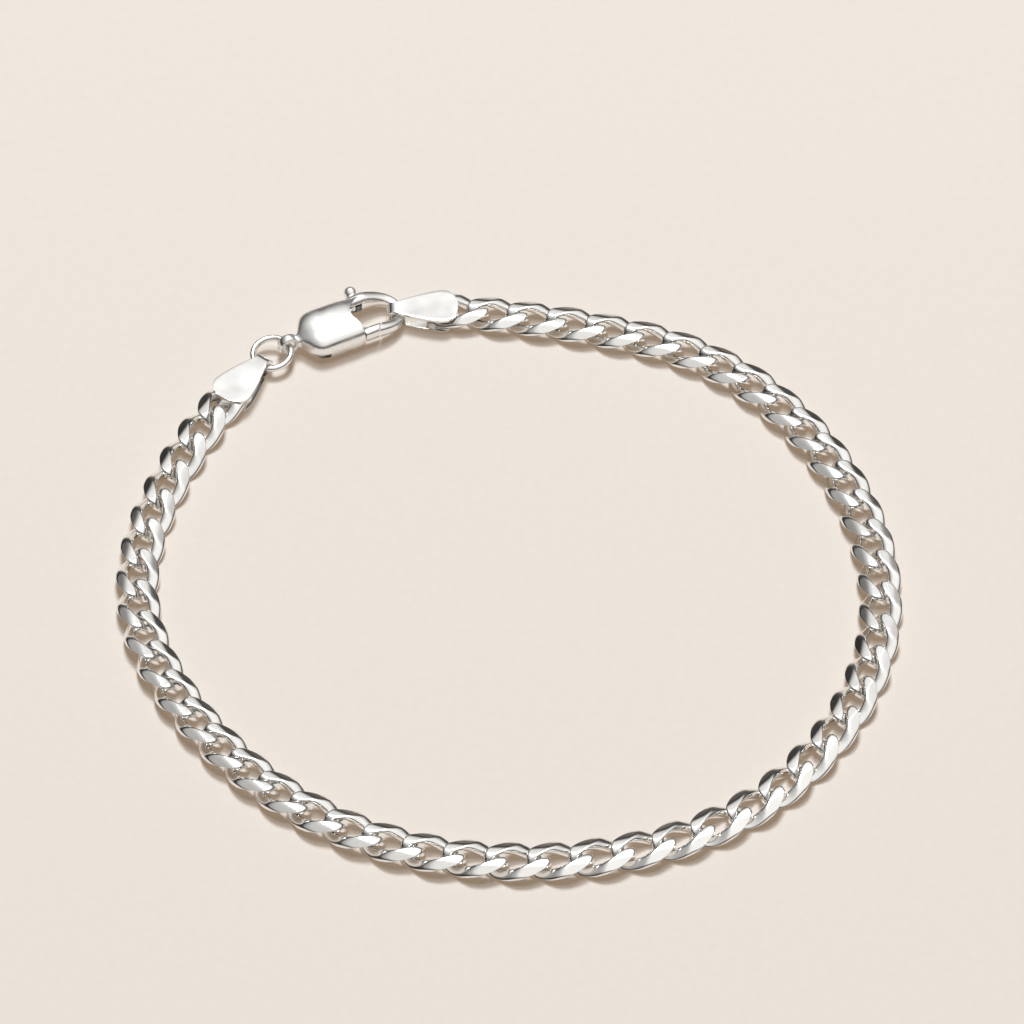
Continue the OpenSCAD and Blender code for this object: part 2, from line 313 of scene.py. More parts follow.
def silver(name, looks, roughness, lines):
    """Polished sterling silver: cloudy polish and fine scratches, as deep as lines says."""
    material = bpy.data.materials.get(name)
    if material:
        return material
    # Factors on the cloudy patches' colour, and on the roughness where it is least and most
    cloudy, smoothest, roughest = 0.93, 0.75, 1.4
    # How the scratches are turned, and how far they are drawn out
    turn, stretch = (0, 0, 0.6), (1, 14, 3)
    material = bpy.data.materials.new(name)
    material.use_nodes = True
    tree = material.node_tree
    shader = tree.nodes["Principled BSDF"]
    shader.inputs["Metallic"].default_value = 1
    link = tree.links.new
    where = node_at(tree, "ShaderNodeTexCoord")
    cloud = node_at(tree, "ShaderNodeTexNoise", Scale=420, Detail=3, Roughness=0.55)
    tint = ramp_at(tree, ((0.3, [c * cloudy for c in looks.silver]), (0.6, looks.silver)))
    gloss = node_at(
        tree,
        "ShaderNodeMapRange",
        From_Min=0.3,
        From_Max=0.7,
        To_Min=roughness * smoothest,
        To_Max=roughness * roughest,
    )
    drawn = node_at(tree, "ShaderNodeMapping", Rotation=turn, Scale=stretch)
    scratch = node_at(tree, "ShaderNodeTexNoise", Scale=900, Detail=4, Roughness=0.7)
    bump = node_at(tree, "ShaderNodeBump", Strength=lines, Distance=0.00001)
    link(where.outputs["Object"], cloud.inputs["Vector"])
    link(cloud.outputs["Fac"], tint.inputs["Fac"])
    link(tint.outputs["Color"], shader.inputs["Base Color"])
    link(cloud.outputs["Fac"], gloss.inputs["Value"])
    link(gloss.outputs["Result"], shader.inputs["Roughness"])
    link(where.outputs["Object"], drawn.inputs["Vector"])
    link(drawn.outputs["Vector"], scratch.inputs["Vector"])
    link(scratch.outputs["Fac"], bump.inputs["Height"])
    link(bump.outputs["Normal"], shader.inputs["Normal"])
    return material


def polished_silver(looks):
    """The smooth polish of round wire and of the tags."""
    return silver("polished silver", looks, looks.polish, lines=0.12)


def cut_silver(looks):
    """The bright polish of ground faces, with tool lines."""
    return silver("cut silver", looks, looks.cut_polish, lines=0.18)


def satin_silver(looks):
    """The softer polish of the clasp."""
    return silver("satin silver", looks, looks.satin, lines=0.15)


def spin_round(bm, axis, steps):
    """Spins what is there round the origin into a closed ring."""
    bmesh.ops.spin(
        bm,
        geom=bm.verts[:] + bm.edges[:],
        cent=(0, 0, 0),
        axis=axis,
        angle=math.tau,
        steps=steps,
        use_merge=True,
    )


def wire_ring(radius, wire_r, corners, steps):
    """A lying ring of round wire."""
    bm = bmesh.new()
    bmesh.ops.create_circle(bm, segments=corners, radius=wire_r)
    bmesh.ops.rotate(bm, verts=bm.verts, matrix=Matrix.Rotation(math.pi / 2, 3, "X"))
    bmesh.ops.translate(bm, verts=bm.verts, vec=(radius, 0, 0))
    spin_round(bm, (0, 0, 1), steps)
    return bm


def link_shape(s):
    """One link: a ring of flattened wire, pulled to an oval, twisted and ground."""
    side_w, end_w, wire_t = mm(s.wire_w), mm(s.wire_end), mm(s.wire_t)
    half_l = (mm(s.pitch) + end_w + mm(s.play)) / 2
    half_w = (mm(s.width) - side_w) / 2

    def line(t):
        x = half_l * bent(math.cos(t), s.square)
        y = half_w * bent(math.sin(t), s.square)
        a = -s.twist * x / half_l
        return Vector((x, y * math.cos(a), y * math.sin(a)))

    # The link starts as a plain ring whose wire has a radius of 1
    ring_r = 10
    bm = wire_ring(ring_r, wire_r=1, corners=28, steps=72)
    for v in bm.verts:
        t = math.atan2(v.co.y, v.co.x)
        p = line(t)
        a = s.twist * p.x / half_l
        along = way_at(line, t)
        out = along.cross(Vector((0, math.sin(a), math.cos(a)))).normalized()
        if out.dot(Vector((p.x, p.y, 0))) < 0:
            out.negate()
        up = along.cross(out)
        if up.z <= 0:
            up.negate()
        wide = end_w + (side_w - end_w) * math.sin(t) ** 2
        across = bent(math.hypot(v.co.x, v.co.y) - ring_r, s.wire_square) * wide / 2
        v.co = p + across * out + bent(v.co.z, s.wire_square) * wire_t / 2 * up
    grind(bm, s)
    bmesh.ops.recalc_face_normals(bm, faces=bm.faces)
    return bm


def grind(bm, s):
    """Presses a link's wire softly back to its crowned faces and bevels, which get the cut polish."""
    width, half_t, soft = mm(s.width), mm(s.thickness) / 2, mm(s.soften)
    # The crowned faces have the chain's thickness this far from its middle line
    crown_y = 0.22 * width
    face = half_t * math.cos(s.crown) + crown_y * math.sin(s.crown)
    slope = s.bevel_slope
    bevel = width / 2 * math.cos(slope) + half_t * math.sin(slope) - mm(s.bevel_depth)
    ground = {}
    for y in (-1, 1):
        for z in (-1, 1):
            for a, depth in ((math.pi / 2 - s.crown, face), (slope, bevel)):
                plane = Vector((0, y * math.cos(a), z * math.sin(a)))
                for v in bm.verts:
                    over = v.co.dot(plane) - depth
                    v.co -= plane * (over + soft * math.log1p(math.exp(-over / soft)))
                    if over > soft:
                        ground.setdefault(v, set()).add((y, z, a))
    for f in bm.faces:
        f.smooth = True
        if set.intersection(*(ground.get(v, set()) for v in f.verts)):
            f.material_index = 1


def link_places():
    """Centre, in millimetres, and direction of each packed loose link, in order from the left tag."""
    bm = bmesh.new()
    bm.from_mesh(frame["nodes"]["chain"].data)
    bmesh.ops.remove_doubles(bm, verts=bm.verts, dist=MERGE * MM)
    loose = set(bm.verts)
    found = []
    while loose:
        # Each link is an island of joined points
        island, edge = set(), [loose.pop()]
        while edge:
            v = edge.pop()
            island.add(v)
            near = {e.other_vert(v) for e in v.link_edges} & loose
            loose -= near
            edge.extend(near)
        centre = sum((v.co for v in island), Vector()) / len(island)
        # Its direction is its longest spread, seen from above
        flat = [(v.co - centre).to_2d() for v in island]
        xx, yy, xy = (sum(f[a] * f[b] for f in flat) for a, b in ((0, 0), (1, 1), (0, 1)))
        found.append((centre / MM, math.atan2(2 * xy, xx - yy) / 2))
    bm.free()
    low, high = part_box("end_tag_left")
    at = (low + high) / 2 / MM
    ordered = []
    while found:
        best = min(found, key=lambda f: (f[0] - at).length)
        found.remove(best)
        ordered.append(best)
        at = best[0]
    return ordered


def end_place(a, b, c):
    """The place before a in the row a, b, c, by the way that they curve."""
    centre = 3 * a[0] - 3 * b[0] + c[0]
    centre.z = 2 * a[0].z - b[0].z
    turn = [math.remainder(q[1] - p[1], math.pi) for p, q in ((a, b), (b, c))]
    return centre, a[1] - 2 * turn[0] + turn[1]


def place_link(bm, shape, where, roll=0, nod=0):
    """Lays a link at its place, rolled about its length and nodded about its width."""
    lean = Matrix.Rotation(nod, 4, "Y") @ Matrix.Rotation(roll, 4, "X")
    stamp(bm, shape, Matrix.Translation(where[0]) @ Matrix.Rotation(where[1], 4, "Z") @ lean)


class BRACELET_OT_links(bpy.types.Operator):
    """Bend, twist and grind the loose curb links and lay them along the loop"""

    bl_idname = "bracelet.add_links"
    bl_label = "Curb Links"

    def execute(self, context):
        s = context.scene.bracelet_chain
        # Steps from link to link that make the sway look unplanned, in radians
        roll_beat, nod_beat = 2.4, 4.1
        shape = link_shape(s)
        bm = bmesh.new()
        for i, where in enumerate(link_places()):
            out = where[0].to_2d().normalized().x
            where[0].z += mm(s.lift) * abs(out)
            lean = -s.lean * out * math.sin(where[1])
            roll = s.sway * math.sin(roll_beat * i)
            nod = s.sway / 2 * math.sin(nod_beat * i)
            place_link(bm, shape, where, lean + roll, nod)
        shape.free()
        looks = context.scene.bracelet_looks
        finish_piece("curb_links", bm, [polished_silver(looks), cut_silver(looks)], BODY, "chain")
        return {"FINISHED"}


def tag_shape(s, reach):
    """A strip folded over a wire into two drop-shaped plates, with the wire's middle as its origin."""
    length, neck, wide = mm(s.length), mm(s.neck), mm(s.width)
    over, strip = mm(s.thickness), mm(s.strip)
    bend = over / 2
    bend_x, end_x = bend - reach, length - reach
    plate_steps, bend_steps, cross_steps = 30, 16, 12
    # The plate flares over this share of its length, with this power
    flare, flare_power = 0.74, 1.35
    # Its round end: the length of that, and the powers that shape it
    cap_len, cap_power, cap_root = 1.5, 2.6, 2.1
    # Edges sharper than this, in degrees, are rounded by this much
    sharp, edge_round = 50, 0.09

    def width(x):
        q = max(0, (x - bend_x) / (end_x - bend_x))
        side = neck + (wide - neck) * (1 - (1 - min(1, q / flare)) ** flare_power)
        c = max(0, (x - end_x + cap_len) / cap_len)
        return min(side, wide) * max(0, 1 - c**cap_power) ** (1 / cap_root)

    rows = []
    for i in range(plate_steps + 1):
        q = 1 - math.cos(math.pi / 2 * i / plate_steps)
        rows.append((end_x - (end_x - bend_x) * q, 0))
    for i in range(1, bend_steps):
        a = math.pi * i / bend_steps
        rows.append((bend_x - bend * math.sin(a), bend - bend * math.cos(a)))
    rows += [(x, over) for x, z in reversed(rows[: plate_steps + 1])]
    # The strip starts as a grid with a side of 1, whose rows of points are then laid along the fold
    half = 0.5
    bm = bmesh.new()
    bmesh.ops.create_grid(bm, x_segments=len(rows) - 1, y_segments=cross_steps, size=half)
    for v in bm.verts:
        x, z = rows[round((v.co.x + half) * (len(rows) - 1))]
        v.co = Vector((x, v.co.y * width(x), z))
    # At the plates' tips the grid's points fall together
    bmesh.ops.remove_doubles(bm, verts=bm.verts, dist=MERGE / 10)
    bmesh.ops.recalc_face_normals(bm, faces=bm.faces)
    top = max(bm.faces, key=lambda f: f.calc_center_median().z)
    if top.normal.z < 0:
        bmesh.ops.reverse_faces(bm, faces=bm.faces)
    bmesh.ops.solidify(bm, geom=bm.faces[:], thickness=strip)
    soften(bm, sharp, edge_round, segments=3)
    shade(bm, sharp)
    return bm


class BRACELET_OT_tags(bpy.types.Operator):
    """Fold the two end tags over their wires and solder an end link into each"""

    bl_idname = "bracelet.add_end_tags"
    bl_label = "End Tags"

    def execute(self, context):
        scene = context.scene
        s = scene.bracelet_tags
        links = link_places()
        shape = link_shape(scene.bracelet_chain)
        materials = [polished_silver(scene.bracelet_looks), cut_silver(scene.bracelet_looks)]
        ends = (
            ("left", s.left_pin, s.left_reach, end_place(*links[:3])),
            ("right", s.right_pin, s.right_reach, end_place(*links[:-4:-1])),
        )
        for side, pin, reach, where in ends:
            at = Vector((*map(mm, pin), 0))
            way = where[0] - at
            plates = tag_shape(s, mm(reach))
            bm = bmesh.new()
            turn = Matrix.Rotation(math.atan2(way.y, way.x), 4, "Z")
            stamp(bm, plates, Matrix.Translation(at) @ turn)
            place_link(bm, shape, where)
            plates.free()
            finish_piece("folded_tag_" + side, bm, materials, BODY, "end_tag_" + side)
        shape.free()
        return {"FINISHED"}


class BRACELET_OT_ring(bpy.types.Operator):
    """Spin the jump ring through the left tag and the clasp's tail eye"""

    bl_idname = "bracelet.add_ring"
    bl_label = "Jump Ring"

    def execute(self, context):
        scene = context.scene
        s, clasp, tags = scene.bracelet_ring, scene.bracelet_clasp, scene.bracelet_tags
        wire, radius = mm(s.wire), (mm(s.diameter) - mm(s.wire)) / 2
        tail = Vector((*map(mm, clasp.tail), mm(clasp.shell_t) / 2))
        pin = Vector((*map(mm, tags.left_pin), mm(tags.thickness) / 2))
        pull = tail - pin
        flat = math.hypot(pull.x, pull.y)
        bm = wire_ring(radius, wire / 2, corners=24, steps=96)
        pose = (
            Matrix.Translation((tail + pin) / 2)
            @ Matrix.Rotation(math.atan2(pull.y, pull.x), 4, "Z")
            @ Matrix.Rotation(-math.atan2(pull.z, flat), 4, "Y")
            @ Matrix.Translation((0, radius * math.cos(s.spread / 2), 0))
        )
        bmesh.ops.transform(bm, matrix=pose, verts=bm.verts)
        shade(bm)
        materials = [polished_silver(scene.bracelet_looks)]
        finish_piece("round_jump_ring", bm, materials, BODY, "jump_ring")
        return {"FINISHED"}


class Clasp:
    """The clasp's sizes in millimetres: x from the tail eye to the nose, y towards the knob."""

    def __init__(self, s):
        self.pose = Matrix.Translation((*map(mm, s.tail), 0)) @ Matrix.Rotation(s.turn, 4, "Z")
        self.t, self.w, self.len = mm(s.shell_t), mm(s.shell_w), mm(s.shell_len)
        self.mid = self.t / 2
        self.eye, self.eye_hole, self.eye_w = mm(s.eye), mm(s.eye_hole), mm(s.eye_w)
        self.shell_x = (self.eye + self.eye_hole) / 4
        self.front = self.shell_x + self.len
        self.cheek = mm(s.cheek)
        self.hook_len, self.hook_wire = mm(s.hook_len), mm(s.hook_wire)
        self.nose_wire, self.nose_t = mm(s.nose_wire), mm(s.nose_t)
        # The hook's oval: its middle as a share of its reach, and how much wider than the shell it is
        middle, wider = 0.32, 0.2
        self.hook_x = self.front + self.hook_len * middle
        self.hook_a = self.hook_len * (1 - middle) - self.nose_wire / 2
        self.hook_b = (self.w + wider - self.hook_wire) / 2
        # The hook's thickness as a share of the shell's, and the height of its nose's middle
        self.hook_t, self.nose_z = self.t * 0.67, 0.8
        self.mouth = (self.hook_x, 0)
        self.play, self.lever_t = mm(s.play), mm(s.lever_t)
        self.layer = (self.mid - self.lever_t / 2, self.mid + self.lever_t / 2)
        self.slot = (self.layer[0] - self.play, self.layer[1] + self.play)
        # The knob's place past the front and beside the shell
        self.knob, self.knob_at = mm(s.knob), (self.front + 1, self.w / 2 + 0.7)
        self.gate_w, self.gate_t = 0.95, 1.15


def block(x, y, z):
    """A box, given as its ranges."""
    bm = bmesh.new()
    bmesh.ops.create_cube(bm, size=1)
    bmesh.ops.scale(bm, vec=(x[1] - x[0], y[1] - y[0], z[1] - z[0]), verts=bm.verts)
    bmesh.ops.translate(bm, vec=(sum(x) / 2, sum(y) / 2, sum(z) / 2), verts=bm.verts)
    return bm


def drum(at, low_r, high_r, z):
    """A round cutter with an upright axis, as wide as low_r below and high_r above."""
    bm = bmesh.new()
    bmesh.ops.create_cone(
        bm,
        cap_ends=True,
        segments=96,
        radius1=low_r,
        radius2=high_r,
        depth=z[1] - z[0],
    )
    bmesh.ops.translate(bm, vec=(at[0], at[1], sum(z) / 2), verts=bm.verts)
    return bm


def worked(base, steps):
    """Cuts other shapes out of a base, or joins them to it, and gives back the result."""
    collection = bpy.context.scene.collection

    def loose(bm, name):
        mesh = bpy.data.meshes.new(name)
        bm.to_mesh(mesh)
        bm.free()
        obj = bpy.data.objects.new(name, mesh)
        collection.objects.link(obj)
        return obj

    stock = loose(base, "stock")
    tools = []
    for kind, tool in steps:
        tools.append(loose(tool, "tool"))
        change = stock.modifiers.new(kind, "BOOLEAN")
        change.operation = kind
        change.solver = "EXACT"
        change.object = tools[-1]
    shown = bpy.context.evaluated_depsgraph_get()
    done = bpy.data.meshes.new_from_object(stock.evaluated_get(shown))
    bm = bmesh.new()
    bm.from_mesh(done)
    for obj in [stock, *tools]:
        mesh = obj.data
        bpy.data.objects.remove(obj)
        bpy.data.meshes.remove(mesh)
    bpy.data.meshes.remove(done)
    return bm


def curve_through(rows, q):
    """The values at q on a smooth curve through rows, each a place and its values."""
    k = max(i for i in range(len(rows) - 1) if rows[i][0] <= q)
    a, b = rows[k], rows[k + 1]
    before, after = rows[max(0, k - 1)], rows[min(len(rows) - 1, k + 2)]
    step = b[0] - a[0]
    u = (q - a[0]) / step
    values = []
    for j in range(1, len(a)):
        slope_a = (b[j] - before[j]) / (b[0] - before[0]) * step
        slope_b = (after[j] - a[j]) / (after[0] - a[0]) * step
        values.append(
            (2 * u**3 - 3 * u**2 + 1) * a[j]
            + (u**3 - 2 * u**2 + u) * slope_a
            + (3 * u**2 - 2 * u**3) * b[j]
            + (u**3 - u**2) * slope_b
        )
    return values


def shell_shape(c):
    """The clasp's shell, domed above and nearly flat below, as a skin through its sections."""
    # Share of the shell's length, and the shares of its width and thickness there
    rows = (
        (0, 0.2, 0.36),
        (0.05, 0.26, 0.42),
        (0.1, 0.48, 0.56),
        (0.18, 0.78, 0.74),
        (0.28, 0.95, 0.88),
        (0.42, 1, 0.97),
        (0.6, 1, 1),
        (0.8, 1, 1),
        (0.93, 0.99, 0.97),
        (1, 0.97, 0.93),
    )
    steps, corners = 44, 72
    # Power that crowds the sections at the tail, and how fast the cheek's width and thickness taper
    crowd, taper_w, taper_t = 1.25, 0.15, 0.4
    # Powers that square the sections: width and height of the dome, and of the underside
    dome_w, dome_t, under = 0.62, 0.72, 0.4
    # The table is read no further than this, which stands for its last row
    last = 0.9999
    places = [(i / steps) ** crowd for i in range(steps)]
    places += [1, 1 + c.cheek / 2 / c.len, 1 + c.cheek / c.len]
    sections = []
    for q in places:
        wide, thick = curve_through(rows, min(q, last))
        wide -= max(0, q - 1) * taper_w
        thick -= max(0, q - 1) * taper_t
        ring = []
        for j in range(corners):
            a = math.tau * j / corners
            top = a < math.pi
            y = bent(math.cos(a), dome_w if top else under) * wide * c.w / 2
            z = c.mid + bent(math.sin(a), dome_t if top else under) * thick * c.mid
            ring.append(Vector((c.shell_x + q * c.len, y, z)))
        sections.append(ring)
    return loft(sections)


def bar_ring(p, turn, w, t):
    """A flat rounded section of a bar, square to its path."""
    # Its corners, and the power that squares it
    corners, square = 32, 0.7
    points = []
    for j in range(corners):
        a = math.tau * j / corners
        v, h = w / 2 * bent(math.cos(a), square), t / 2 * bent(math.sin(a), square)
        points.append(Vector((p.x - v * math.sin(turn), p.y + v * math.cos(turn), p.z + h)))
    return points


def hook_shape(c):
    """The hook: a flattened bar round an oval, stepping down to its thin nose."""
    # The way round the oval, in degrees, and its steps
    first, sweep, steps = 90, 188, 48
    # Power that squares the oval
    oval = 0.8
    # The root that the shell hides: how far in and aside it lies, and its width as a share
    root_in, root_side, root_w = 0.5, 0.15, 0.8
    # Width of the bar where it meets the gate
    near_w = 1

    def line(t):
        x = c.hook_x + c.hook_a * bent(math.cos(t), oval)
        return Vector((x, c.hook_b * bent(math.sin(t), oval), c.mid))

    root = Vector((c.front - root_in, c.hook_b - root_side, c.mid))
    sections = [bar_ring(root, 0, c.hook_wire * root_w, c.hook_t)]
    for i in range(steps + 1):
        t = math.radians(first - i * sweep / steps)
        p, way = line(t), -way_at(line, t)
        # 0 at the nose's tip and 1 where the oval runs along the clasp
        full = 1 - max(0, math.cos(t))
        wide, thick = (c.hook_wire, c.hook_t) if t > 0 else (near_w, c.gate_t)
        p.z -= (c.mid - c.nose_z) * (1 - full)
        wide = c.nose_wire + (wide - c.nose_wire) * full
        thick = c.nose_t + (thick - c.nose_t) * full
        sections.append(bar_ring(p, math.atan2(way.y, way.x), wide, thick))
    return loft(sections)


def joint_side(c, play):
    """A block on the gate's side of the slanted joint between gate and hook."""
    # The joint's place past the hook's middle, its slant, and how far the block reaches inwards
    past, slant, inwards = 0.15, math.radians(-32), 0.3 * c.w
    bm = block((-c.hook_len - play, -play), (-c.w / 2, inwards), (0, c.t))
    turn = Matrix.Translation((c.hook_x + past, -c.hook_b, 0)) @ Matrix.Rotation(slant, 4, "Z")
    bmesh.ops.transform(bm, matrix=turn, verts=bm.verts)
    return bm


def eye_shape(c):
    """The tail eye: an upright ring with a rounded outside."""
    wall = (c.eye - c.eye_hole) / 2
    # Powers that square the ring's section
    square_x, square_y = 0.6, 0.75
    bm = bmesh.new()
    bmesh.ops.create_circle(bm, segments=28, radius=1)
    for v in bm.verts:
        x = c.shell_x + wall / 2 * bent(v.co.x, square_x)
        v.co = Vector((x, c.eye_w / 2 * bent(v.co.y, square_y), 0))
    spin_round(bm, axis=(0, 1, 0), steps=64)
    bmesh.ops.translate(bm, vec=(0, 0, c.mid), verts=bm.verts)
    bmesh.ops.recalc_face_normals(bm, faces=bm.faces)
    return bm


def arm_slot(c):
    """A cutter for the sweep of the lever's arm, through the knob's side."""
    # How far it reaches behind the shell's front and ahead of it
    back, ahead = 1.75, 1.25
    return block((c.front - back, c.front + ahead), (0, c.w), c.slot)


def cut_shell(c):
    """The shell with its slot, window, scooped front and round mouth."""
    # Where the cutters end, clear of the shell: ahead, and below and above
    ahead, through = c.front + 5, (-1, 2 * c.t)
    # The walls beside the slot, and how deep it runs in from the front
    wall, slot_depth = 0.5, 2.65
    # The window in the near side: its ends past the shell's tail, its depth, and how far it reaches
    # below and above the slot's floor
    window_start, window_end, window_in, window_low, window_high = 0.45, 2.2, 0.8, 0.25, 0.15
    # The cheek by the knob starts this far from the middle line
    cheek_y = 0.6
    # The scoop in the front: its middle, its radius below and above, and its top
    scoop_at, scoop_low, scoop_high, scoop_top = (c.front + 2.45, -0.5), 2.42, 2.72, 2 * c.t - 1
    mouth_r = 1.72
    slot = block((c.front - slot_depth, ahead), (wall - c.w / 2, c.w / 2 - wall), c.slot)
    window = block(
        (c.shell_x + window_start, c.shell_x + window_end),
        (-c.w, window_in - c.w / 2),
        (c.slot[0] - window_low, c.slot[0] + window_high),
    )
    front = block((c.front, ahead), (-c.w, cheek_y), through)
    scoop = drum(scoop_at, scoop_low, scoop_high, (c.slot[0], scoop_top))
    mouth = drum(c.mouth, mouth_r, mouth_r, through)
    cutters = (slot, arm_slot(c), window, front, scoop, mouth)
    return worked(shell_shape(c), [("DIFFERENCE", cutter) for cutter in cutters])


def cut_hook(c):
    """The hook, cut for the lever's arm and at the slanted joint."""
    cuts = [("DIFFERENCE", arm_slot(c)), ("DIFFERENCE", joint_side(c, -c.play / 2))]
    return worked(hook_shape(c), cuts)


class BRACELET_OT_clasp(bpy.types.Operator):
    """Form the clasp's domed shell, its slot and window, the hook and the tail eye"""

    bl_idname = "bracelet.add_clasp_body"
    bl_label = "Clasp Body"

    def execute(self, context):
        scene = context.scene
        c = Clasp(scene.bracelet_clasp)
        shell, hook, eye = cut_shell(c), cut_hook(c), eye_shape(c)
        for part in (shell, hook):
            bmesh.ops.remove_doubles(part, verts=part.verts, dist=MERGE)
            bmesh.ops.dissolve_degenerate(part, dist=MERGE, edges=part.edges)
            shade(part, degrees=32)
        shade(eye)
        # The rivet that the lever turns on: its radius, and how far in its ends lie
        rivet_r, rivet_in = 0.4, 0.6
        pivot = frame["joints"][0]["pos_m"]
        rivet = drum((mm(pivot[0]), mm(pivot[1])), rivet_r, rivet_r, (rivet_in, c.t - rivet_in))
        bm = bmesh.new()
        for part, pose in ((shell, c.pose), (hook, c.pose), (eye, c.pose), (rivet, Matrix())):
            stamp(bm, part, pose)
            part.free()
        materials = [satin_silver(scene.bracelet_looks)]
        finish_piece("clasp_shell_and_hook", bm, materials, BODY, "clasp_body")
        return {"FINISHED"}


def lever_plate(c, pivot):
    """The lever's flat plate: a band round the mouth with the boss that turns on the rivet."""
    through = (0, c.t)
    # The band: its radii, how far behind the mouth's middle it ends, and the walls beside it
    outer_r, inner_r, front_in, wall = 2.5, 1.62, 0.95, 0.6
    boss_r, hole_r = 0.85, 0.45
    half = c.w / 2 - wall
    bm = worked(
        drum(c.mouth, outer_r, outer_r, c.layer),
        [
            ("DIFFERENCE", drum(c.mouth, inner_r, inner_r, through)),
            ("INTERSECT", block((c.hook_x - outer_r, c.hook_x - front_in), (-half, half), through)),
            ("UNION", drum(pivot, boss_r, boss_r, c.layer)),
            ("DIFFERENCE", drum(pivot, hole_r, hole_r, through)),
        ],
    )
    bmesh.ops.remove_doubles(bm, verts=bm.verts, dist=MERGE)
    soften(bm, degrees=40, width=0.05)
    shade(bm, degrees=35)
    return bm


def lever_arm(c):
    """The arm from the plate out to the knob."""
    # Its ends from the knob's middle, half its width, and its turn from the clasp's length
    start, end, half_w, turn = -0.1, 1.9, 0.27, math.radians(-108)
    bm = block((start, end), (-half_w, half_w), c.layer)
    pose = Matrix.Translation((*c.knob_at, 0)) @ Matrix.Rotation(turn, 4, "Z")
    bmesh.ops.transform(bm, matrix=pose, verts=bm.verts)
    soften(bm, degrees=40, width=0.14, segments=3)
    shade(bm)
    return bm


def lever_knob(c):
    """The little ball that a fingernail pulls."""
    bm = bmesh.new()
    bmesh.ops.create_uvsphere(bm, u_segments=40, v_segments=24, radius=c.knob / 2)
    bmesh.ops.translate(bm, vec=(*c.knob_at, c.mid), verts=bm.verts)
    shade(bm)
    return bm


def lever_gate(c):
    """The bar that closes the mouth, ending on the slanted joint."""
    # Distance between the shell's front and the gate
    gap = 0.12
    ends = [Vector((x, -c.hook_b, c.mid)) for x in (c.front + gap, c.front + c.hook_len)]
    bar = loft([bar_ring(p, 0, c.gate_w, c.gate_t) for p in ends])
    bm = worked(bar, [("INTERSECT", joint_side(c, c.play / 2))])
    bmesh.ops.remove_doubles(bm, verts=bm.verts, dist=MERGE)
    soften(bm, degrees=60, width=0.04)
    shade(bm, degrees=35)
    return bm


class BRACELET_OT_lever(bpy.types.Operator):
    """Make the lever: its plate and boss, the arm with its knob, and the gate"""

    bl_idname = "bracelet.add_lever"
    bl_label = "Clasp Lever"

    def execute(self, context):
        scene = context.scene
        c = Clasp(scene.bracelet_clasp)
        pivot = c.pose.inverted() @ (Vector(frame["joints"][0]["pos_m"]) / MM)
        bm = bmesh.new()
        for part in (lever_plate(c, pivot), lever_arm(c), lever_knob(c), lever_gate(c)):
            stamp(bm, part, c.pose)
            part.free()
        materials = [satin_silver(scene.bracelet_looks)]
        finish_piece("rounded_lever", bm, materials, LEVER, "clasp_lever")
        return {"FINISHED"}


def table_material(looks):
    """Matt cream paper with a faint mottle, and an even glow of painted fill light that lightens and warms
    the shadows on it.
    """
    # How far the mottle darkens and lightens the paper
    dark, light = 0.95, 1.05
    material = bpy.data.materials.new("cream paper")
    material.use_nodes = True
    tree = material.node_tree
    shader = tree.nodes["Principled BSDF"]
    shader.inputs["Roughness"].default_value = 0.85
    shader.inputs["Specular IOR Level"].default_value = 0.2
    # Painted fill light: the table glows with this colour, so that its shadows come out lighter and warmer
    shader.inputs["Emission Color"].default_value = (*looks.painted_fill_glow, 1)
    shader.inputs["Emission Strength"].default_value = 1
    where = node_at(tree, "ShaderNodeTexCoord")
    grain = node_at(tree, "ShaderNodeTexNoise", Scale=1400, Detail=4, Roughness=0.6)
    tint = ramp_at(
        tree, ((0, [c * dark for c in looks.table]), (1, [c * light for c in looks.table]))
    )
    tree.links.new(where.outputs["Object"], grain.inputs["Vector"])
    tree.links.new(grain.outputs["Fac"], tint.inputs["Fac"])
    tree.links.new(tint.outputs["Color"], shader.inputs["Base Color"])
    return material


def add_light(s, name, rise, side, power, mirrored):
    """A square light behind or over the bracelet, which its metal mirrors or doesn't."""
    data = bpy.data.lights.new(name, "AREA")
    data.shape = "SQUARE"
    data.size = side
    data.energy = power
    data.color = s.tint
    light = bpy.data.objects.new(name, data)
    bpy.context.scene.collection.objects.link(light)
    light.location = (0, s.light_away * math.cos(rise), s.light_away * math.sin(rise))
    light.rotation_euler = (rise - math.pi / 2, 0, 0)
    light.visible_glossy = mirrored


